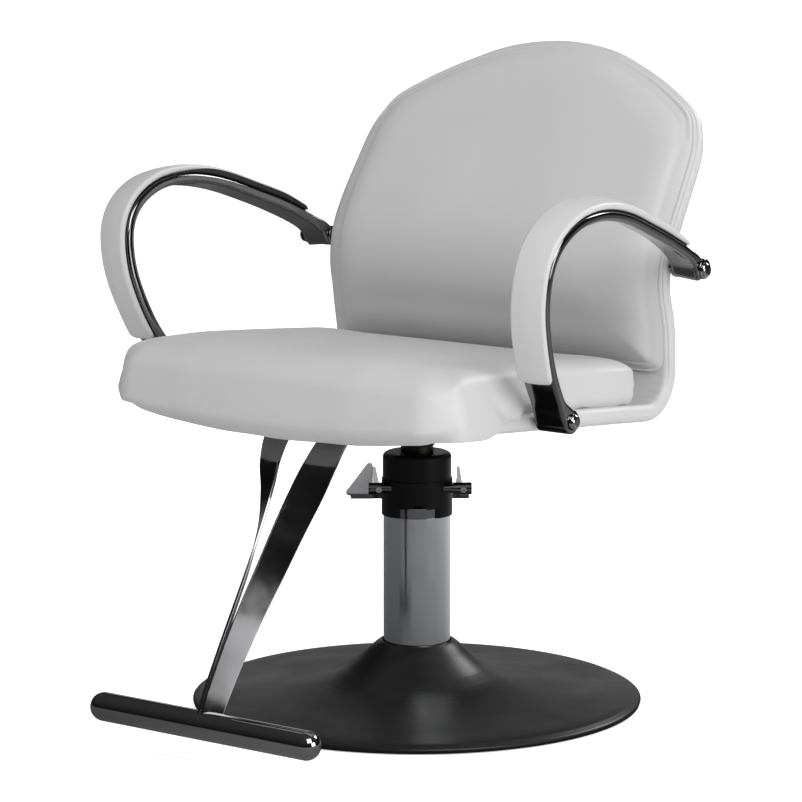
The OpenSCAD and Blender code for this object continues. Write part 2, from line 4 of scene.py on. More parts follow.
import bpy
import numpy as np
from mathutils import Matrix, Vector


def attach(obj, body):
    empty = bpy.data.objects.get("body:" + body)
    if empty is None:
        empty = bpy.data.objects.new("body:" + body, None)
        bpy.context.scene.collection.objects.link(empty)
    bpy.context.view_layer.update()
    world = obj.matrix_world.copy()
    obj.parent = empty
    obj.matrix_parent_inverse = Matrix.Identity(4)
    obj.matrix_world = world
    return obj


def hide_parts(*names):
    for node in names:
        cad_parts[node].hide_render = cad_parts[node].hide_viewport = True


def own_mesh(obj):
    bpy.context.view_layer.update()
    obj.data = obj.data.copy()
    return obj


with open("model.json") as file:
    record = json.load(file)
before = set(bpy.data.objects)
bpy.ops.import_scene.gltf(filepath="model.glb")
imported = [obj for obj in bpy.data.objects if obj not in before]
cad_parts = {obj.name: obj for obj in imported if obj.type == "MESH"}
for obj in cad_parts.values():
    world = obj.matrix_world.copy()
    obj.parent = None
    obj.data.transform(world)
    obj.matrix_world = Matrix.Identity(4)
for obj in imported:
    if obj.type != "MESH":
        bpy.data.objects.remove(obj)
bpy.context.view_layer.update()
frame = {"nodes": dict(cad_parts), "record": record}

SIDES = (("left", 1.0), ("right", -1.0))

# ---- sizes, in metres, as the CAD has them --------------------------------

SEAT_Z = 0.4045            # underside of the shell above the column
RISE = math.radians(5)     # rise of the seat towards its front
SHELL_T = 0.024
PAN_FRONT = -0.235
BACK_Y = 0.195
CORNER_R = 0.050
BACK_TOP = 0.876
BACK_LEAN = math.radians(33)
PAD_T = 0.034
CUSHION_HALF = 0.274
CUSHION_FRONT = -0.333
CUSHION_REAR = 0.123
CUSHION_BASE = SHELL_T + 0.002
CUSHION_TOP = CUSHION_BASE + 0.055
ARM_X = 0.312
ARM_W = 0.046
ARM_T = 0.013
ARM_TILT = math.radians(8)
ARM_PAD_T = 0.008
BOLT_LOW = (-0.119, 0.433)
BOLT_HIGH = (0.185, 0.5965)
LEG_W = 0.044
LEG_T = 0.004
PLUNGER_AT = (0.0242, 0.0227)
SPRING_LOW, SPRING_HIGH = 0.2581, 0.2883


# ---- curves -----------------------------------------------------------------

def smooth(points, steps):
    """A Catmull-Rom curve through the points, with this many steps a span."""
    p = np.array(points, float)
    padded = np.vstack([p[:1], p, p[-1:]])
    out = []
    for i in range(len(p) - 1):
        a, b, c, d = padded[i:i + 4]
        for k in range(steps):
            t = k / steps
            out.append(0.5 * (2 * b + (c - a) * t + (2 * a - 5 * b + 4 * c - d) * t * t
                              + (3 * b - a - 3 * c + d) * t ** 3))
    out.append(p[-1])
    return np.array(out)


def lengths(p):
    """Distance along a polyline at each of its points."""
    return np.concatenate([[0], np.cumsum(np.linalg.norm(np.diff(p, axis=0), axis=1))])


def along(p, where):
    """Points of a polyline at the given distances along it."""
    s = lengths(p)
    return np.stack([np.interp(where, s, p[:, k]) for k in range(p.shape[1])], axis=-1)


def even(p, count):
    """The polyline as this many points at equal distances."""
    return along(p, np.linspace(0, lengths(p)[-1], count))


def unit(v):
    return v / np.linalg.norm(v, axis=-1, keepdims=True)


def heading(p):
    """The unit direction of a polyline at each of its points."""
    return unit(np.gradient(p, axis=0))


def ease(x):
    """A smooth step from 0 to 1."""
    x = np.clip(x, 0, 1)
    return x * x * (3 - 2 * x)


def quarter(x):
    """A quarter circle, which climbs steeply from 0 and levels out at 1."""
    return np.sqrt(1 - (1 - np.clip(x, 0, 1)) ** 2)


def bump_at(x, centre, width):
    """A bell of height 1 round a centre."""
    return np.exp(-((x - centre) / width) ** 2)


# ---- meshes -------------------------------------------------------------------

def make(name, points, faces, material, body, slot, replaced=(), subdiv=0):
    """A smooth mesh object that rides a body and stands for the CAD nodes it replaces."""
    mesh = bpy.data.meshes.new(name)
    mesh.from_pydata([tuple(map(float, p)) for p in points], [], [tuple(f) for f in faces])
    mesh.validate()
    mesh.update()
    obj = bpy.data.objects.new(name, mesh)
    bpy.context.scene.collection.objects.link(obj)
    mesh.materials.append(material)
    for polygon in mesh.polygons:
        polygon.use_smooth = True
    if subdiv:
        modifier = obj.modifiers.new("subdivision", "SUBSURF")
        modifier.levels = subdiv
        modifier.render_levels = subdiv
    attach(obj, body)
    if replaced:
        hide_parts(*replaced)
    return obj


def bridge(rows, columns):
    """Quads between rows of points, each row closed on itself."""
    faces = []
    for i in range(rows - 1):
        for j in range(columns):
            a, b = i * columns + j, i * columns + (j + 1) % columns
            faces.append((a, b, b + columns, a + columns))
    return faces


def tube(name, rings, material, body, slot, **more):
    """A skin over closed rings of points, with its two ends filled by fans."""
    rings = np.array(rings)
    rows, columns = rings.shape[:2]
    points = list(rings.reshape(-1, 3))
    faces = bridge(rows, columns)
    for row, turn in ((0, True), (rows - 1, False)):
        points.append(rings[row].mean(axis=0))
        hub = len(points) - 1
        for j in range(columns):
            a, b = row * columns + j, row * columns + (j + 1) % columns
            faces.append((hub, b, a) if turn else (hub, a, b))
    return make(name, points, faces, material, body, slot, **more)


# ---- materials ----------------------------------------------------------------

def shader(name, colour, roughness, metallic=0.0, specular=0.5):
    """A new material with its nodes, links and Principled BSDF."""
    material = bpy.data.materials.new(name)
    material.use_nodes = True
    nodes = material.node_tree.nodes
    bsdf = nodes["Principled BSDF"]
    bsdf.inputs["Base Color"].default_value = (*colour, 1)
    bsdf.inputs["Roughness"].default_value = roughness
    bsdf.inputs["Metallic"].default_value = metallic
    bsdf.inputs["Specular IOR Level"].default_value = specular
    return material, nodes, material.node_tree.links, bsdf


def noise(nodes, links, scale, detail=3.0, stretch=(1, 1, 1)):
    """Noise in the object's own coordinates."""
    coords = nodes.new("ShaderNodeTexCoord")
    mapping = nodes.new("ShaderNodeMapping")
    mapping.inputs["Scale"].default_value = stretch
    texture = nodes.new("ShaderNodeTexNoise")
    texture.inputs["Scale"].default_value = scale
    texture.inputs["Detail"].default_value = detail
    links.new(coords.outputs["Object"], mapping.inputs["Vector"])
    links.new(mapping.outputs["Vector"], texture.inputs["Vector"])
    return texture


def spread(nodes, links, source, target, low, high):
    """Maps a texture's 0.3 to 0.7 onto low to high, or between two colours."""
    if isinstance(low, tuple):
        ramp = nodes.new("ShaderNodeValToRGB")
        ramp.color_ramp.elements[0].position = 0.3
        ramp.color_ramp.elements[1].position = 0.7
        ramp.color_ramp.elements[0].color = (*low, 1)
        ramp.color_ramp.elements[1].color = (*high, 1)
        links.new(source, ramp.inputs["Fac"])
        links.new(ramp.outputs["Color"], target)
    else:
        remap = nodes.new("ShaderNodeMapRange")
        remap.inputs["From Min"].default_value = 0.3
        remap.inputs["From Max"].default_value = 0.7
        remap.inputs["To Min"].default_value = low
        remap.inputs["To Max"].default_value = high
        links.new(source, remap.inputs["Value"])
        links.new(remap.outputs["Result"], target)


def relief(nodes, links, bsdf, layers):
    """Adds bump layers, each a texture output with a strength and a depth in metres."""
    previous = None
    for source, strength, depth in layers:
        bump = nodes.new("ShaderNodeBump")
        bump.inputs["Strength"].default_value = strength
        bump.inputs["Distance"].default_value = depth
        links.new(source, bump.inputs["Height"])
        if previous:
            links.new(previous, bump.inputs["Normal"])
        previous = bump.outputs["Normal"]
    links.new(previous, bsdf.inputs["Normal"])


def white_vinyl():
    material, nodes, links, bsdf = shader("white_vinyl", (0.47, 0.47, 0.47), 0.44, specular=0.4)
    tone = noise(nodes, links, 5.0, 4.0)
    spread(nodes, links, tone.outputs["Fac"], bsdf.inputs["Base Color"],
           (0.46, 0.46, 0.46), (0.485, 0.485, 0.483))
    spread(nodes, links, tone.outputs["Fac"], bsdf.inputs["Roughness"], 0.38, 0.47)
    grain = nodes.new("ShaderNodeTexVoronoi")
    grain.inputs["Scale"].default_value = 900
    links.new(nodes["Texture Coordinate"].outputs["Object"], grain.inputs["Vector"])
    pull = noise(nodes, links, 26.0, 2.0, (0.5, 1, 1))
    relief(nodes, links, bsdf, [(grain.outputs["Distance"], 0.12, 0.0002),
                                (pull.outputs["Fac"], 0.10, 0.0010)])
    return material


def chrome(name="chrome", colour=(0.42, 0.42, 0.43), roughness=0.07):
    material, nodes, links, bsdf = shader(name, colour, roughness, metallic=1.0)
    haze = noise(nodes, links, 30.0, 4.0)
    spread(nodes, links, haze.outputs["Fac"], bsdf.inputs["Roughness"],
           roughness * 0.7, roughness * 1.5)
    wave = noise(nodes, links, 9.0, 1.0)
    relief(nodes, links, bsdf, [(wave.outputs["Fac"], 0.06, 0.0015)])
    return material


def brushed(name, colour, roughness):
    material, nodes, links, bsdf = shader(name, colour, roughness, metallic=1.0)
    lines = noise(nodes, links, 60.0, 3.0, (1, 1, 14))
    spread(nodes, links, lines.outputs["Fac"], bsdf.inputs["Roughness"],
           roughness * 0.8, roughness * 1.4)
    relief(nodes, links, bsdf, [(lines.outputs["Fac"], 0.1, 0.0001)])
    return material


def black_paint(name="black_paint", specular=0.4):
    material, nodes, links, bsdf = shader(name, (0.006, 0.006, 0.006), 0.34, specular=specular)
    peel = noise(nodes, links, 420.0, 2.0)
    cloud = noise(nodes, links, 14.0, 3.0)
    spread(nodes, links, cloud.outputs["Fac"], bsdf.inputs["Roughness"], 0.32, 0.42)
    relief(nodes, links, bsdf, [(peel.outputs["Fac"], 0.12, 0.0002)])
    return material


def black_rubber():
    material, nodes, links, bsdf = shader("black_rubber", (0.018, 0.018, 0.018), 0.7)
    speck = noise(nodes, links, 300.0, 3.0)
    relief(nodes, links, bsdf, [(speck.outputs["Fac"], 0.2, 0.0002)])
    return material


def plywood():
    material, nodes, links, bsdf = shader("plywood", (0.62, 0.47, 0.3), 0.6)
    plies = noise(nodes, links, 12.0, 6.0, (1, 6, 20))
    spread(nodes, links, plies.outputs["Fac"], bsdf.inputs["Base Color"],
           (0.52, 0.37, 0.22), (0.70, 0.55, 0.36))
    relief(nodes, links, bsdf, [(plies.outputs["Fac"], 0.2, 0.0003)])
    return material


def lining():
    material, nodes, links, bsdf = shader("dust_cloth", (0.02, 0.02, 0.02), 0.9)
    weave = nodes.new("ShaderNodeTexWave")
    weave.inputs["Scale"].default_value = 260
    coords = nodes.new("ShaderNodeTexCoord")
    links.new(coords.outputs["Object"], weave.inputs["Vector"])
    relief(nodes, links, bsdf, [(weave.outputs["Fac"], 0.3, 0.0002)])
    return material


VINYL = white_vinyl()
CHROME = chrome()
DARK_CHROME = chrome("dark_chrome", (0.22, 0.22, 0.225), 0.09)
SLEEVE_CHROME = chrome("sleeve_chrome", (0.62, 0.63, 0.65), 0.14)
BLACK = black_paint()
DEEP_BLACK = black_paint("pump_black", 0.12)
RUBBER = black_rubber()
STEEL = brushed("zinc_steel", (0.5, 0.5, 0.52), 0.3)
BRONZE = brushed("bronze", (0.5, 0.34, 0.18), 0.3)
SATIN = brushed("satin_steel", (0.75, 0.75, 0.77), 0.42)
OILED = brushed("oiled_bronze", (0.05, 0.045, 0.04), 0.4)
BY_SLOT = {"white_vinyl": VINYL, "chrome": CHROME, "black_paint": BLACK, "rubber": RUBBER,
           "steel": STEEL, "bronze": BRONZE, "plywood": plywood(), "dust_cloth": lining()}
BY_NODE = {"pump_sleeve": SLEEVE_CHROME, "pump_head": DEEP_BLACK,
           "pump_cap": DEEP_BLACK, "swivel_boss": DEEP_BLACK, "foot_pedal": SATIN,
           "cross_shaft": DARK_CHROME, "lever_fork": DARK_CHROME, "collar_ring": DARK_CHROME,
           "thrust_washer": OILED, "ram_rod": OILED, "cap_screws": BLACK}


def dress_cad_nodes():
    """A procedural material on every CAD node, by its own name or by its material slot."""
    slots = {s["node"]: s["material_slot"] for s in frame["record"]["subparts"]}
    for name, obj in frame["nodes"].items():
        obj.data.materials.clear()
        obj.data.materials.append(BY_NODE.get(name, BY_SLOT[slots[name]]))


# ---- the shell's path -----------------------------------------------------------

def pan_z(y):
    return SEAT_Z + 0.0001 + SHELL_T / 2 / math.cos(RISE) - y * math.tan(RISE)


def shell_path():
    """The middle of the shell in Y and Z: under the seat, round the corner, up the back."""
    corner_y = BACK_Y - CORNER_R
    tangent_y = corner_y - CORNER_R * math.sin(RISE)
    tangent_z = pan_z(tangent_y)
    corner_z = tangent_z + CORNER_R * math.cos(RISE)
    front_y = PAN_FRONT - 0.012
    front = np.array([[front_y, pan_z(front_y)]])
    turn = np.radians(np.linspace(-90 - math.degrees(RISE), -8, 14))
    corner = np.column_stack([corner_y + CORNER_R * np.cos(turn),
                              corner_z + CORNER_R * np.sin(turn)])
    lean_from = np.array([BACK_Y + 0.011, 0.652])
    reach = BACK_TOP - lean_from[1] + 0.020
    lean_to = lean_from + reach * np.array([math.tan(BACK_LEAN), 1])
    back = smooth([[BACK_Y, corner_z], [BACK_Y - 0.008, 0.520], [BACK_Y - 0.017, 0.566],
                   [BACK_Y - 0.011, 0.608], lean_from,
                   lean_from + 0.3 * (lean_to - lean_from), lean_to], 10)
    return even(np.vstack([front, corner, back]), 500)


PATH = shell_path()
PATH_S = lengths(PATH)
PATH_H = heading(PATH)


def on_shell(x, s, rise):
    """A point at x across and s along the shell, raised in front of its middle."""
    y, z = np.interp(s, PATH_S, PATH[:, 0]), np.interp(s, PATH_S, PATH[:, 1])
    hy, hz = np.interp(s, PATH_S, PATH_H[:, 0]), np.interp(s, PATH_S, PATH_H[:, 1])
    size = np.hypot(hy, hz)
    return np.stack([x + 0 * y, y - rise * hz / size, z + rise * hy / size], axis=-1)


def height_to_s(z):
    """The distance along the shell at a height on the back."""
    upper = PATH[:, 1] > 0.45
    return np.interp(z, PATH[upper, 1], PATH_S[upper])


FULLER = 0.0030            # how far the cover goes past the CAD outline
SHOULDER = (0.250, 0.792)
SHOULDER_POINT, CREST_POINT = 8, 12       # their places in the outline's points
SPAN_STEPS = 8
SIDES_FROM = 0.44          # the seat part of the shell is as wide as the back at this height
STRAIGHT_BELOW = 0.690     # the back's rows are straight below this height, arched above


def outline_parts(inset):
    """The right side of the back's outline, and its arch, in X and Z."""
    m = inset - FULLER
    line = smooth([[0.281 - m, 0.380], [0.281 - m, 0.440], [0.284 - m, 0.510],
                   [0.282 - m, 0.575], [0.2825 - m, 0.640], [0.2805 - m, 0.690],
                   [0.2765 - m, 0.738], [0.2670 - m, 0.768 - m / 2],
                   [SHOULDER[0] - m * 0.8, SHOULDER[1] - m * 0.8],
                   [0.2045 - m / 2, 0.8195 - m], [0.150 - m / 2, 0.8440 - m],
                   [0.080, 0.8660 - m], [0, BACK_TOP - 0.0015 - m], [-0.080, 0.8660 - m]],
                  SPAN_STEPS)
    shoulder, crest = SHOULDER_POINT * SPAN_STEPS, CREST_POINT * SPAN_STEPS
    return line[:shoulder + 1], line[shoulder:crest + 1]


def panel_grid(inset, s_low, nu, nv_side, nv_top, low_r=0.0):
    """A grid of X and S over the shell from s_low, with rounded corners, to its arched top."""
    side, arch = outline_parts(inset)
    s_mid = float(height_to_s(STRAIGHT_BELOW))
    u = np.linspace(-1, 1, nu)
    rows = []
    # rows crowd towards a rounded lower edge
    for s in s_low + (s_mid - s_low) * np.linspace(0, 1, nv_side) ** (1.6 if low_r else 1):
        z = np.interp(s, PATH_S, PATH[:, 1])
        half = np.interp(max(z, SIDES_FROM), side[:, 1], side[:, 0])
        cut = max(low_r - (s - s_low), 0)
        half -= low_r - math.sqrt(low_r ** 2 - cut ** 2)
        rows.append(np.column_stack([u * half, np.full(nu, s)]))
    upper = side[side[:, 1] >= STRAIGHT_BELOW]
    first = [np.interp(STRAIGHT_BELOW, side[:, 1], side[:, 0]), STRAIGHT_BELOW]
    upper = np.vstack([first, upper])
    right = even(upper, nv_top)
    right_s = height_to_s(right[:, 1])
    top = even(np.vstack([arch, (arch * [-1, 1])[::-1][1:]])[::-1], nu)
    top_s = height_to_s(top[:, 1])
    w = (u + 1) / 2
    for k in range(1, nv_top):
        v = k / (nv_top - 1)
        edge_x, edge_s = right[k, 0], right_s[k]
        x = ((1 - v) * u * right[0, 0] + v * top[:, 0] + (1 - w) * -edge_x + w * edge_x
             - (1 - v) * ((1 - w) * -right[0, 0] + w * right[0, 0])
             - v * ((1 - w) * top[0, 0] + w * top[-1, 0]))
        s = ((1 - v) * s_mid + v * top_s + edge_s - (1 - v) * right_s[0] - v * right_s[-1])
        rows.append(np.column_stack([x, s]))
    return np.array(rows)


def border_of(grid):
    """The grid's edge as one closed loop, from its lower left corner, anticlockwise."""
    return np.vstack([grid[0], grid[1:, -1], grid[-1, -2::-1], grid[-2:0:-1, 0]])


def to_border(grid):
    """The distance of each point of a grid from the grid's edge."""
    edge = border_of(grid)
    a, b = edge, np.roll(edge, -1, axis=0)
    p = grid.reshape(-1, 1, 2)
    ab = (b - a)[None]
    t = np.clip(((p - a[None]) * ab).sum(-1) / np.maximum((ab ** 2).sum(-1), 1e-12), 0, 1)
    return np.linalg.norm(p - (a[None] + t[..., None] * ab), axis=-1).min(1).reshape(grid.shape[:2])


def grid_faces(rows, columns, start=0, turned=False):
    """Quads over a grid of points, the first of which is point number start."""
    faces = []
    for i in range(rows - 1):
        for j in range(columns - 1):
            a = start + i * columns + j
            quad = (a, a + 1, a + columns + 1, a + columns)
            faces.append(quad[::-1] if turned else quad)
    return faces


def border_indices(rows, columns):
    """The numbers of a grid's edge points, in the order of border_of."""
    lower = list(range(columns))
    right = [i * columns + columns - 1 for i in range(1, rows)]
    top = [(rows - 1) * columns + j for j in range(columns - 2, -1, -1)]
    left = [i * columns for i in range(rows - 2, 0, -1)]
    return lower + right + top + left


def two_sided(name, grid, front, back, edge_rings, **more):
    """A closed body: a front sheet, rings round its edge, and a back sheet."""
    rows, columns = grid.shape[:2]
    count = rows * columns
    points = list(front.reshape(-1, 3)) + list(back.reshape(-1, 3))
    faces = grid_faces(rows, columns) + grid_faces(rows, columns, count, turned=True)
    loop = border_indices(rows, columns)
    previous = loop
    for ring in edge_rings:
        start = len(points)
        points += list(ring)
        current = list(range(start, start + len(loop)))
        faces += strip_faces(previous, current)
        previous = current
    faces += strip_faces(previous, [count + i for i in loop])
    return make(name, points, faces, **more)


def strip_faces(a, b):
    """Quads between two closed loops of point numbers."""
    n = len(a)
    return [(a[(i + 1) % n], a[i], b[i], b[(i + 1) % n]) for i in range(n)]


# ---- the upholstered shell --------------------------------------------------------

def outward_of(loop):
    """The outward normal of a closed anticlockwise loop in the plane."""
    d = unit(np.roll(loop, -1, axis=0) - np.roll(loop, 1, axis=0))
    return np.column_stack([d[:, 1], -d[:, 0]])


SHELL_START = 0.004        # how far along the path the sheet starts
SHELL_GRID = (61, 150, 26)                # points across, rows up the sides, rows in the arch
SEAMS = (40, 114)          # degrees round the rolled edge, from the front
SEAM_DEPTH = 0.0015
EDGE_STOPS = (8, 18, 28, 36, 40, 44, 54, 66, 78, 90, 102, 110, 114, 118, 126, 140, 155, 170)
REAR_PADDING = 0.0030
CORNER_S = float(height_to_s(0.454)) - 0.035


def corner_tucks(s):
    """Small folds across the shell where it turns up from the seat."""
    window = bump_at(s, CORNER_S, 0.030)
    return window * (0.0013 * np.sin((s - CORNER_S) * 420) + 0.0007 * np.sin((s - CORNER_S) * 787))


def shell_skin():
    """The white cover of the bent shell: a rolled edge with two seams, and tucks at the corner."""
    half = SHELL_T / 2
    grid = panel_grid(half, SHELL_START, *SHELL_GRID)
    x, s = grid[..., 0], grid[..., 1]
    away = to_border(grid)
    front = on_shell(x, s, half + corner_tucks(s) * (1 - ease(away / 0.030)))
    back = on_shell(x, s, -half - REAR_PADDING * ease(away / 0.08))
    loop = border_of(grid)
    out = outward_of(loop)
    up_back = 0.15 + 0.85 * ease((loop[:, 1] - CORNER_S) / 0.05)
    rings = []
    for degrees in EDGE_STOPS:
        a = math.radians(degrees)
        groove = SEAM_DEPTH * up_back * sum(bump_at(degrees, seam, 3.2) for seam in SEAMS)
        reach = half * math.sin(a) ** 0.8 - groove * math.sin(a)
        rise = (half - groove) * math.cos(a) + corner_tucks(loop[:, 1]) * max(math.cos(a), 0)
        p = loop + out * reach[:, None]
        rings.append(on_shell(p[:, 0], p[:, 1], rise))
    return two_sided("upholstered_shell", grid, front, back, rings, material=VINYL,
                     body="seat", slot="white_vinyl", replaced=("shell_cover",))


# ---- the back cushion ---------------------------------------------------------------

BACK_PAD_LOW = 0.444       # height of the cushion's lower edge
BACK_PAD_INSET = 0.0085
BACK_PAD_GRID = (97, 90, 40)
BORDER_T = 0.0035
WELT_H, WELT_AT, WELT_W = 0.0020, 0.0120, 0.0034
STITCHES = ((0.0016, 0.0070, 0.0018), (0.0014, 0.0168, 0.0020))    # depth, place and width
CROWN_FROM, CROWN_RUN = 0.012, 0.050
CROWN_EDGE, CROWN_MORE = PAD_T - 0.016, 0.006


def fanned_tucks(x, s, away):
    """Soft tucks that start at the back cushion's lower corners, s above its lower edge."""
    near = np.clip(1 - (0.275 - np.abs(x)) / 0.075, 0, 1) * np.clip(1 - s / 0.085, 0, 1)
    fan = np.arctan2(s + 0.012, 0.290 - np.abs(x))
    return 0.0009 * near * np.sin(fan * 15 + 0.8) * np.clip(away / 0.02, 0, 1)


def back_pad():
    """The plump front of the back: a welt round a crowned panel, sewn down along its border."""
    low = float(height_to_s(BACK_PAD_LOW))
    grid = panel_grid(BACK_PAD_INSET, low, *BACK_PAD_GRID, low_r=0.024)
    x, s = grid[..., 0], grid[..., 1]
    away = to_border(grid)
    base = SHELL_T / 2 + 0.0006
    rise = base + BORDER_T * quarter(away / 0.004) + WELT_H * bump_at(away, WELT_AT, WELT_W)
    for depth, place, width in STITCHES:
        rise -= depth * bump_at(away, place, width)
    roll = (1 - (1 - np.clip((away - CROWN_FROM) / CROWN_RUN, 0, 1)) ** 2.3) ** 0.75
    rise += roll * (CROWN_EDGE + CROWN_MORE * ease(away / 0.22) - BORDER_T)
    rise += fanned_tucks(x, s - low, away)
    front = on_shell(x, s, np.minimum(rise, SHELL_T / 2 + PAD_T))
    back = on_shell(x, s, np.full(x.shape, base))
    pad = two_sided("back_pad", grid, front, back, [], material=VINYL, body="seat",
                    slot="white_vinyl", replaced=("back_cushion",), subdiv=1)
    return pad


# ---- the seat cushion ----------------------------------------------------------------

def on_seat(points):
    """From the seat's own frame, which rises towards the front, to the chair's."""
    c, s = math.cos(RISE), math.sin(RISE)
    x, y, z = points[..., 0], points[..., 1], points[..., 2]
    return np.stack([x, c * y + s * z, SEAT_Z - s * y + c * z], axis=-1)


def seat_outline(count, inset=0.0, front_inset=0.0):
    """The cushion's plan, from the middle of its rear edge, anticlockwise."""
    h, f, r = CUSHION_HALF - inset, CUSHION_FRONT + front_inset, CUSHION_REAR - inset
    rear_r, front_r = max(0.022 - inset, 0.008), 0.052
    a = np.radians(np.linspace(90, 180, 9))
    rear = np.column_stack([-h + rear_r + rear_r * np.cos(a), r - rear_r + rear_r * np.sin(a)])
    b = np.radians(np.linspace(180, 258, 12))
    front = np.column_stack([-h + front_r + front_r * np.cos(b),
                             f + front_r + 0.010 + front_r * np.sin(b)])
    left = np.vstack([[[0, r]], rear, front, [[-h / 2, f + 0.0025], [0, f]]])
    loop = np.vstack([left, (left * [-1, 1])[::-1][1:]])
    return even(loop, count + 1)[:-1]


SEAT_POINTS = 320
SEAT_MIDDLE = np.array([0, -0.10])
SIDE_ROLL, FRONT_ROLL = 0.036, 0.064      # how far in the top starts to round over
SEAT_CROWN = 0.006
OVERHANG = 0.0128          # how far the hanging sides stand out from the cushion's plan
# Folds in both sides: depth, growth, delay, slant, Y at the top, and width
FOLDS = ((0.0046, 0.5, 0.0, 0.060, -0.235, 0.010), (0.0036, 0.7, 0.2, 0.080, -0.200, 0.009))
# Lowest point of the draped front at each distance from the middle
NOSE = smooth([[0, -0.028], [0.100, -0.0255], [0.170, -0.021], [0.220, -0.0155],
               [0.250, -0.012], [0.274, -0.0070]], 6)


def seat_crown(p):
    """The rise of the cushion's top towards its middle."""
    across = 1 - (p[:, 0] / CUSHION_HALF) ** 2
    lengthways = 1 - ((p[:, 1] - SEAT_MIDDLE[1]) / 0.24) ** 2
    return SEAT_CROWN * np.clip(across, 0, 1) ** 0.7 * np.clip(lengthways, 0, 1)


def seat_top(loop, frontness):
    """Rings over the top from its middle, and round its upper edge."""
    inner = seat_outline(SEAT_POINTS, SIDE_ROLL, FRONT_ROLL)
    outer = np.abs(loop[:, 0])
    lift = 0.0022 * ease((outer - 0.18) / 0.08) - 0.0045 * ease(
        (-loop[:, 1] - 0.17) / 0.14) * ease((outer - 0.15) / 0.11)
    top = CUSHION_TOP + 0.0005 + lift
    rings = []
    for scale in np.linspace(0.04, 0.96, 22):
        p = SEAT_MIDDLE + (inner - SEAT_MIDDLE) * scale
        edge = ease(scale)
        z = top * edge + CUSHION_TOP * (1 - edge) + seat_crown(p)
        rings.append(np.column_stack([p, z]))
    for step in np.linspace(0, 1, 15):
        a = step * math.pi / 2
        k = 1 - math.sin(a)
        p = inner * k + loop * (1 - k)
        drop = (0.018 + 0.020 * frontness) * (1 - math.cos(a))
        rings.append(np.column_stack([p, top + seat_crown(p) * (1 - step) - drop]))
    return rings


def lowest_line(loop, run, drape):
    """The height of the cushion's lower edge: a seam on the shell, and a hanging front."""
    nose = np.interp(np.abs(loop[:, 0]), NOSE[:, 0], NOSE[:, 1])
    seam = SHELL_T - 0.0012 + 0.0014 * np.sin(run * 19 + 0.6) + 0.0008 * np.sin(run * 43)
    low = seam * (1 - drape) + (nose + 0.0004 * np.sin(run * 17)) * drape
    return low + 0.0072 * drape * (1 - drape) * np.sin(loop[:, 1] * 170)


def seat_side(step, loop, out, run, frontness, drape):
    """The side's line in plan, at a step from 0 at its top to 1 at its lower edge."""
    side = 1 - frontness
    bulge = 0.0020 * math.sin(math.pi * step ** 0.8) * (1 - drape)
    crease = 0.0012 * side * ease((np.abs(out[:, 0]) - 0.5) / 0.3)
    line = crease * (0.6 + 0.4 * np.sin(run * 7)) * (
        bump_at(step, 0.18 + 0.03 * np.sin(run * 9), 0.07)
        + 0.8 * bump_at(step, 0.50 + 0.05 * np.sin(run * 11 + 2), 0.07))
    over = OVERHANG * ease(drape * 3.5) * side * ease(step / 0.75)
    under = (0.003 + 0.020 * frontness) * (max(0, step - 0.66) / 0.34) ** 1.6
    ripple = 0.0004 * np.sin(run * 23 + 3 * step) * step * drape + 0.0025 * frontness * (
        math.sin(math.pi * step))
    fold = sum(depth * ease(step / growth - delay) * bump_at(loop[:, 1], slope * step + y, width)
               for depth, growth, delay, slope, y, width in FOLDS)
    return loop + out * (bulge + over - line - under + ripple - fold * side)[:, None]


def seat_pad():
    """The box cushion: a crowned top, plump sides with creases, and a draped front."""
    loop = seat_outline(SEAT_POINTS)
    out = outward_of(loop)
    run = np.linspace(0, 2 * math.pi, SEAT_POINTS, endpoint=False)
    frontness = ease((-out[:, 1] - 0.15) / 0.6) * ease((-loop[:, 1] - 0.20) / 0.06)
    # ahead of the shell the cover hangs over the shell's edge
    drape = ease((-loop[:, 1] - 0.122) / 0.128)
    low = lowest_line(loop, run, drape)
    rings = seat_top(loop, frontness)
    upper = rings[-1][:, 2]
    for step in np.linspace(0.07, 1, 18):
        p = seat_side(step, loop, out, run, frontness, drape)
        rings.append(np.column_stack([p, upper + (low - upper) * step ** 0.95]))
    bottom = rings[-1][:, :2]
    for inward in (0.006, 0.028, 0.060):
        p = bottom - out * inward
        rings.append(np.column_stack([p, low + (SHELL_T - 0.004 - low) * (1 - frontness)
                                      * ease(inward / 0.028)]))
    rings = on_seat(np.array(rings))
    pad = tube("seat_pad", rings[:, ::-1], VINYL, "seat", "white_vinyl",
               replaced=("seat_cushion",), subdiv=1)
    return pad


# ---- strips and bands -------------------------------------------------------------------

ROUNDEST = 0.96            # a corner's largest share of the half size it rounds


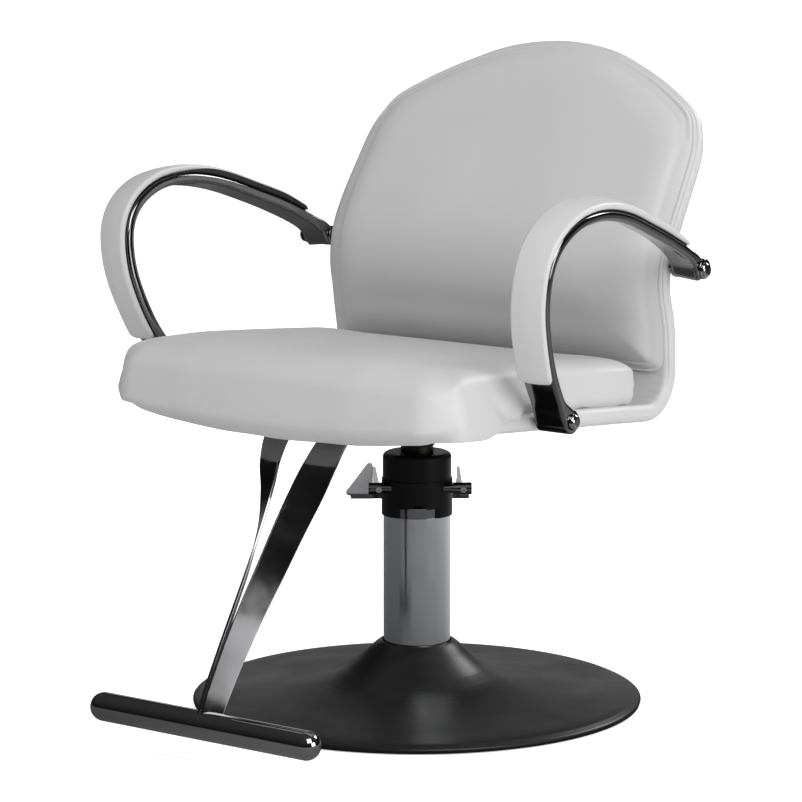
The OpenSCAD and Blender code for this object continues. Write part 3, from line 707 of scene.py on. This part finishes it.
def sweep(path, wide, out, half_w, lo, hi, corner, bow=0.0):
    """Rings of a rounded rectangle along a path, bowed on top. Sizes may vary along it."""
    count = len(path)
    size = [np.broadcast_to(np.asarray(v, float), (count,)) for v in (half_w, lo, hi, corner)]
    rings = []
    for i in range(count):
        w, a, b, r = (v[i] for v in size)
        r = min(r, w * ROUNDEST, (b - a) / 2 * ROUNDEST)
        hold = 0.2 * min(w - r, (b - a) / 2 - r)
        ring = []
        for cx, cy, start in ((w - r, b - r, 0), (-w + r, b - r, 90), (-w + r, a + r, 180),
                              (w - r, a + r, 270)):
            turn = np.radians(start + np.arange(0, 91, 18))
            arc = np.column_stack([cx + r * np.cos(turn), cy + r * np.sin(turn)])
            forward = np.array([-math.sin(turn[0]), math.cos(turn[0])])
            onward = np.array([-math.sin(turn[-1]), math.cos(turn[-1])])
            ring += [tuple(arc[0] - hold * forward), *map(tuple, arc), tuple(arc[-1] + hold * onward)]
            if bow and start in (0, 180):
                side = 1 if start == 0 else -1
                for k in (1, 2, 3):
                    x = (w - r) * (1 - k / 2) * side
                    y = (b if start == 0 else a)
                    ring.append((x, y + bow * (1 - (x / w) ** 2) * (start == 0)))
        ring = np.array(ring)
        rings.append(path[i] + ring[:, :1] * wide[i] + ring[:, 1:] * out[i])
    return rings


def frames_along(path, turn):
    """The width and outward directions of a strip that follows a path, turned by degrees."""
    t = heading(path)
    across = np.array([1.0, 0, 0]) - t[:, :1] * t
    flat = unit(across)
    a = np.radians(turn)[:, None]
    flat = flat * np.cos(a) + np.cross(flat, t) * np.sin(a)
    return flat, unit(np.cross(flat, t))


ARM_POINTS = [BOLT_LOW, (-0.147, 0.461), (-0.179, 0.506), (-0.203, 0.560), (-0.212, 0.602),
              (-0.208, 0.642), (-0.188, 0.671), (-0.151, 0.691), (-0.107, 0.698),
              (-0.062, 0.6955), (-0.012, 0.685), (0.044, 0.6665), (0.098, 0.6467),
              (0.144, 0.6262), (0.170, 0.6095), (0.185, 0.588)]


def arm_path():
    """The middle of the left arm, which leans outwards above the line between its bolts."""
    line = even(smooth(ARM_POINTS, 12), 150)
    bolts = unit(np.array(BOLT_HIGH) - np.array(BOLT_LOW))
    distance = (line - np.array(BOLT_LOW)) @ np.array([-bolts[1], bolts[0]])
    x = ARM_X + math.sin(ARM_TILT) * distance
    return np.column_stack([x, line])


def sided_tube(name, rings, side, material, slot, **more):
    """A tube on the seat made for the left side, or mirrored with its faces turned back."""
    rings = np.array(rings) * [side, 1, 1]
    return tube(name, rings if side > 0 else rings[:, ::-1], material, "seat", slot, **more)


LOW_END_RUN, LOW_END_MORE = 0.045, 0.0075     # length and extra thickness of the flared ends
HIGH_END_RUN, HIGH_END_MORE = 0.052, 0.0095
LUG_R = {"low": 0.0158, "high": 0.0138}
LUG_BEVEL = 0.0022
LUG_DISC_R = 0.004         # the small disc that closes each face, behind the bolt's head
UPPER_LUG = (BOLT_HIGH[0] + 0.004, BOLT_HIGH[1] + 0.001)
PAD_FROM, PAD_TO = 0.124, 0.912           # where the pad starts and ends along the arm
EDGE_FROM = 0.50           # where its black edge starts
BACKING_T = 0.002
CORNER_STOPS = np.radians([0, 22, 45, 67, 90])


def arm_roll(s, total):
    """Each band rolls outwards between its bolted ends, in degrees."""
    return -10 * ease(s / 0.13) * ease((total - s) / 0.12)


def waist(s, total):
    """How much narrower the arm is on each side, most of all towards its rear."""
    return 0.0046 * bump_at(s / total, 0.76, 0.16)


def lug(place, label, side, end):
    """The rounded end of an arm about its bolt."""
    radius = LUG_R[end] - LUG_BEVEL
    inner, outer = -ARM_W / 2 - 0.001, ARM_W / 2 + 0.0014
    profile = [(LUG_DISC_R, inner)]
    profile += [(radius + LUG_BEVEL * math.sin(a), inner + LUG_BEVEL * (1 - math.cos(a)))
                for a in CORNER_STOPS]
    profile += [(radius + LUG_BEVEL * math.cos(a), outer - LUG_BEVEL * (1 - math.sin(a)))
                for a in CORNER_STOPS]
    profile += [(LUG_DISC_R, outer)]
    turn = np.linspace(0, 2 * math.pi, 64, endpoint=False)
    rings = [np.column_stack([np.full(64, ARM_X + x), place[0] + r * np.cos(turn),
                              place[1] + r * np.sin(turn)]) for r, x in profile]
    sided_tube(f"arm_lug_{end}_{label}", rings, side, DARK_CHROME, "chrome")


def arms():
    """Both chrome arms, each a band that thickens towards its ends, with lugs and a pad."""
    path = arm_path()
    s = lengths(path)
    total = s[-1]
    wide, out = frames_along(path, arm_roll(s, total))
    low_end, high_end = 1 - ease(s / LOW_END_RUN), 1 - ease((total - s) / HIGH_END_RUN)
    half_t = ARM_T / 2 + 0.0008 * (1 - ease(s / 0.12)) + LOW_END_MORE * low_end
    half_w = ARM_W / 2 + 0.001 * low_end - 0.0012 * high_end - waist(s, total)
    band = sweep(path, wide, out, half_w, -half_t - 0.0006, half_t + HIGH_END_MORE * high_end,
                 0.0050)
    for label, side in SIDES:
        sided_tube("chrome_arm_" + label, band, side, DARK_CHROME, "chrome",
                   replaced=("arm_" + label,))
        lug(BOLT_LOW, label, side, "low")
        lug(UPPER_LUG, label, side, "high")
        pads(path, wide, out, s, label, side)


def pads(path, wide, out, s, label, side):
    """An arm's white pad on its black backing, which shows along the inner rear edge."""
    total = s[-1]
    begin, finish = PAD_FROM * total, PAD_TO * total
    inside = (s >= begin) & (s <= finish)
    p, w, o, d = path[inside], wide[inside], out[inside], s[inside]
    taper = quarter(np.minimum(d - begin, finish - d) / 0.010)
    thin = 0.45 + 0.55 * ease((finish - d) / 0.060)
    narrow = waist(d, total)
    base = ARM_T / 2 + 0.0002
    rings = sweep(p, w, o, (ARM_W / 2 - 0.003) * (0.8 + 0.2 * taper) - narrow, base,
                  base + BACKING_T, 0.0008)
    sided_tube("pad_backing_" + label, rings, side, BLACK, "black_paint",
               replaced=("arm_pad_base_" + label,))
    half = (ARM_W / 2 + 0.0005) * (0.68 + 0.32 * taper) - narrow
    top = base + BACKING_T + (ARM_PAD_T + 0.0012) * (0.25 + 0.75 * taper) * thin
    rings = sweep(p, w, o, half, base + BACKING_T, top, 0.0056, 0.0014)
    pad = sided_tube("soft_arm_pad_" + label, rings, side, VINYL, "white_vinyl",
                     replaced=("arm_pad_" + label,))
    rear = d > EDGE_FROM * total
    rise = 0.62 * ease((d[rear] - EDGE_FROM * total) / 0.10) * ease((finish - d[rear]) / 0.012)
    edge = p[rear] - w[rear] * (half[rear] + 0.0002)[:, None]
    rings = sweep(edge, w[rear], o[rear], 0.0011, base, base + 0.0012 + (
        top[rear] - base - 0.0006) * rise, 0.0008)
    sided_tube("pad_edge_" + label, rings, side, BLACK, "black_paint")


# ---- footrest strips --------------------------------------------------------------------

def under_pan(y):
    """The height of a footrest strip's middle where it lies under the seat."""
    return SEAT_Z - y * math.tan(RISE) - LEG_T / 2 - 0.0005


LEG_EDGE_R = 0.0009
# X, Y and Z along a strip, its twist in degrees, and its share of the full width
LEG_STATIONS = [[0.046, -0.112, under_pan(-0.112), 0, 1], [0.046, -0.160, under_pan(-0.160), 0, 1],
                [0.046, -0.203, 0.415, 0, 1], [0.046, -0.237, 0.398, 4, 1],
                [0.041, -0.262, 0.366, 18, 1], [0.032, -0.280, 0.330, 34, 1],
                [0.024, -0.303, 0.290, 47, 0.96], [0.0185, -0.335, 0.240, 53, 0.90],
                [0.0145, -0.370, 0.190, 55, 0.82], [0.012, -0.405, 0.138, 56, 0.75],
                [0.0105, -0.438, 0.084, 57, 0.68], [0.010, -0.447, 0.066, 57, 0.66]]


def legs():
    """The two twisted strips from under the seat to the footrest bar."""
    stations = smooth(LEG_STATIONS, 10)
    path = stations[:, :3]
    wide, out = frames_along(path, stations[:, 3])
    for label, side in SIDES:
        rings = sweep(path, wide, out, stations[:, 4] * LEG_W / 2, -LEG_T / 2, LEG_T / 2,
                      LEG_EDGE_R)
        sided_tube("leg_strip_" + label, rings, side, DARK_CHROME, "chrome",
                   replaced=("footrest_leg_" + label,))


# ---- pump ----------------------------------------------------------------------------

def spring():
    """The plunger's coil spring, built at one fixed length, though the real one shortens as the lever
    is pressed.
    """
    turns, radius, wire, start = 6, 0.0049, 0.0007, math.radians(38)
    height = SPRING_HIGH - SPRING_LOW
    t = np.linspace(0, 1, turns * 40 + 1)
    a = 2 * math.pi * turns * t + start
    outward = np.column_stack([np.cos(a), np.sin(a), 0 * a])
    foot = np.array([*PLUNGER_AT, SPRING_LOW + wire])
    path = foot + radius * outward + np.outer(t * (height - 2 * wire), [0, 0, 1])
    turn = np.linspace(0, 2 * math.pi, 12, endpoint=False)
    rings = [p + wire * (np.outer(np.cos(turn), o) + np.outer(np.sin(turn), [0, 0, 1]))
             for p, o in zip(path, outward)]
    coil = tube("coil_spring", rings, STEEL, "base", "steel", replaced=("plunger_spring",))
    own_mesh(coil)


# ---- stage ----------------------------------------------------------------------------

def area_light(name, place, target, size, power, height=None):
    """A rectangular light aimed at a target, as high as it is wide unless told otherwise."""
    light = bpy.data.lights.new(name, "AREA")
    light.shape = "RECTANGLE"
    light.size = size
    light.size_y = height or size
    light.energy = power
    obj = bpy.data.objects.new(name, light)
    obj.location = place
    obj.rotation_euler = (Vector(target) - Vector(place)).to_track_quat("-Z", "Y").to_euler()
    bpy.context.scene.collection.objects.link(obj)
    return obj


def node(nodes, kind, **values):
    """A shader node with inputs set by their names, written with _ for a space."""
    made = nodes.new(kind)
    for key, value in values.items():
        made.inputs[key.replace("_", " ")].default_value = value
    return made


def curve(nodes, links, source, stops):
    """A brightness that follows the source through (place, value) stops."""
    ramp = nodes.new("ShaderNodeValToRGB")
    elements = ramp.color_ramp.elements
    elements[0].position, elements[1].position = stops[0][0], stops[-1][0]
    for place, value in stops[1:-1]:
        elements.new(place)
    for element, (place, value) in zip(elements, stops):
        element.color = (value, value, value, 1)
    links.new(source, ramp.inputs["Fac"])
    return ramp.outputs["Color"]


def maths(nodes, links, operation, a, b=None):
    """A math node's output. Each operand is a number or another node's output."""
    made = nodes.new("ShaderNodeMath")
    made.operation = operation
    for socket, value in zip(made.inputs, (a, b)):
        if isinstance(value, (int, float)):
            socket.default_value = value
        elif value is not None:
            links.new(value, socket)
    return made.outputs["Value"]


CAMERA_PLACE = (3.0081, -4.0047, 1.2293)
CAMERA_FORWARD = (-0.59615, 0.78654, -0.16109)
LENS = 169.0
FLOOR_HALF = 60.0
PAINTED_REFLECTION_REACH = 5            # how far out the floor carries the painted reflection that the metal sees
SKY_HIDDEN = 0.93          # the share of the sky's light that metal doesn't see
# Painted reflection, a glow of the floor that only the metal sees: by share of that reach, and by
# direction round the chair
PAINTED_REFLECTION_BY_DISTANCE = [(0.0, 0.03), (0.062, 0.05), (0.085, 0.22), (0.13, 0.26), (0.34, 0.38),
                     (0.48, 0.14), (1.0, 0.03)]
PAINTED_REFLECTION_BY_TURN = [(0.0, 0.5), (0.186, 0.50), (0.244, 0.78), (0.3525, 0.95), (0.52, 1.1),
                 (0.647, 1.5), (0.75, 2.2), (0.80, 2.2), (0.86, 0.5), (1.0, 0.6)]


def floor_material():
    """White to the eye; metal sees a painted reflection in it, a glow that is dark with paler areas,
    as in a studio with black cloths.
    """
    material, nodes, links, bsdf = shader("pale_floor", (0.93, 0.93, 0.93), 0.75, specular=0.2)
    tone = noise(nodes, links, 1.5, 2.0)
    spread(nodes, links, tone.outputs["Fac"], bsdf.inputs["Base Color"],
           (0.93, 0.93, 0.93), (0.95, 0.95, 0.95))
    coords = nodes.new("ShaderNodeTexCoord")
    split = nodes.new("ShaderNodeSeparateXYZ")
    links.new(coords.outputs["Object"], split.inputs["Vector"])
    x, y = split.outputs["X"], split.outputs["Y"]
    squares = maths(nodes, links, "ADD", maths(nodes, links, "POWER", x, 2),
                    maths(nodes, links, "POWER", y, 2))
    distance = maths(nodes, links, "DIVIDE", maths(nodes, links, "SQRT", squares),
                     PAINTED_REFLECTION_REACH)
    turn = maths(nodes, links, "ADD", maths(nodes, links, "DIVIDE", maths(
        nodes, links, "ARCTAN2", y, x), 2 * math.pi), 0.5)
    by_distance = curve(nodes, links, distance, PAINTED_REFLECTION_BY_DISTANCE)
    by_turn = curve(nodes, links, turn, PAINTED_REFLECTION_BY_TURN)
    # painted reflection: an emission that only glossy rays see, which puts dark and pale areas into
    # the chrome that no lamp casts
    painted_reflection = nodes.new("ShaderNodeEmission")
    links.new(maths(nodes, links, "MULTIPLY", by_distance, by_turn), painted_reflection.inputs["Strength"])
    lift = nodes.new("ShaderNodeEmission")
    rays = nodes.new("ShaderNodeLightPath")
    links.new(maths(nodes, links, "MULTIPLY", rays.outputs["Is Camera Ray"], 0.5),
              lift.inputs["Strength"])
    bright = nodes.new("ShaderNodeAddShader")
    links.new(bsdf.outputs["BSDF"], bright.inputs[0])
    links.new(lift.outputs["Emission"], bright.inputs[1])
    mix = nodes.new("ShaderNodeMixShader")
    links.new(rays.outputs["Is Glossy Ray"], mix.inputs["Fac"])
    links.new(bright.outputs["Shader"], mix.inputs[1])
    links.new(painted_reflection.outputs["Emission"], mix.inputs[2])
    links.new(mix.outputs["Shader"], nodes["Material Output"].inputs["Surface"])
    return material


def stage():
    """The floor, the sky and the lights. The two fill lights don't show in the chrome."""
    mesh = bpy.data.meshes.new("floor")
    r = FLOOR_HALF
    mesh.from_pydata([(-r, -r, 0), (r, -r, 0), (r, r, 0), (-r, r, 0)], [], [(0, 1, 2, 3)])
    mesh.materials.append(floor_material())
    floor = bpy.data.objects.new("floor", mesh)
    bpy.context.scene.collection.objects.link(floor)
    floor.location = (0, 0, -0.0005)
    sky()
    area_light("key", (2.7, -1.3, 3.0), (0, 0, 0.5), 2.2, 80)
    area_light("side", (2.92, -0.11, 0.80), (0, -0.37, 0.17), 1.6, 20, 1.28)
    area_light("rear", (0.8, 3.0, 2.4), (0, 0, 0.5), 1.8, 45, 1.0)
    area_light("low", (-2.4, 3.2, 0.9), (0, 0, 0.3), 3.0, 5, 0.9)
    fill = area_light("fill", (-0.2, -3.6, 2.4), (0, 0, 0.5), 2.6, 25)
    fill.visible_glossy = False
    behind = area_light("behind", (-2.6, 2.4, 1.6), (0, -0.1, 0.5), 1.6, 14)
    behind.visible_glossy = False


def sky():
    """Brighter overhead than at the horizon, and much darker for metal."""
    world = bpy.data.worlds.new("studio")
    world.use_nodes = True
    bpy.context.scene.world = world
    nodes, links = world.node_tree.nodes, world.node_tree.links
    coords = nodes.new("ShaderNodeTexCoord")
    split = nodes.new("ShaderNodeSeparateXYZ")
    links.new(coords.outputs["Generated"], split.inputs["Vector"])
    glow = node(nodes, "ShaderNodeMapRange", From_Min=0.0, From_Max=1.0, To_Min=0.135, To_Max=1.0)
    links.new(split.outputs["Z"], glow.inputs["Value"])
    rays = nodes.new("ShaderNodeLightPath")
    dimmer = maths(nodes, links, "SUBTRACT", 1.0, maths(
        nodes, links, "MULTIPLY", rays.outputs["Is Glossy Ray"], SKY_HIDDEN))
    nodes["Background"].inputs["Color"].default_value = (1, 1, 1, 1)
    links.new(maths(nodes, links, "MULTIPLY", glow.outputs["Result"], dimmer),
              nodes["Background"].inputs["Strength"])
    bpy.context.scene.view_settings.view_transform = "Standard"


def camera():
    """The view of the chair from its front left and a little above it."""
    data = bpy.data.cameras.new("camera")
    data.lens = LENS
    data.sensor_width = 36.0
    data.clip_end = 100
    obj = bpy.data.objects.new("camera", data)
    obj.location = CAMERA_PLACE
    obj.rotation_euler = Vector(CAMERA_FORWARD).to_track_quat("-Z", "Y").to_euler()
    bpy.context.scene.collection.objects.link(obj)
    bpy.context.scene.camera = obj


camera()
stage()
dress_cad_nodes()
shell_skin()
back_pad()
seat_pad()
arms()
legs()
spring()
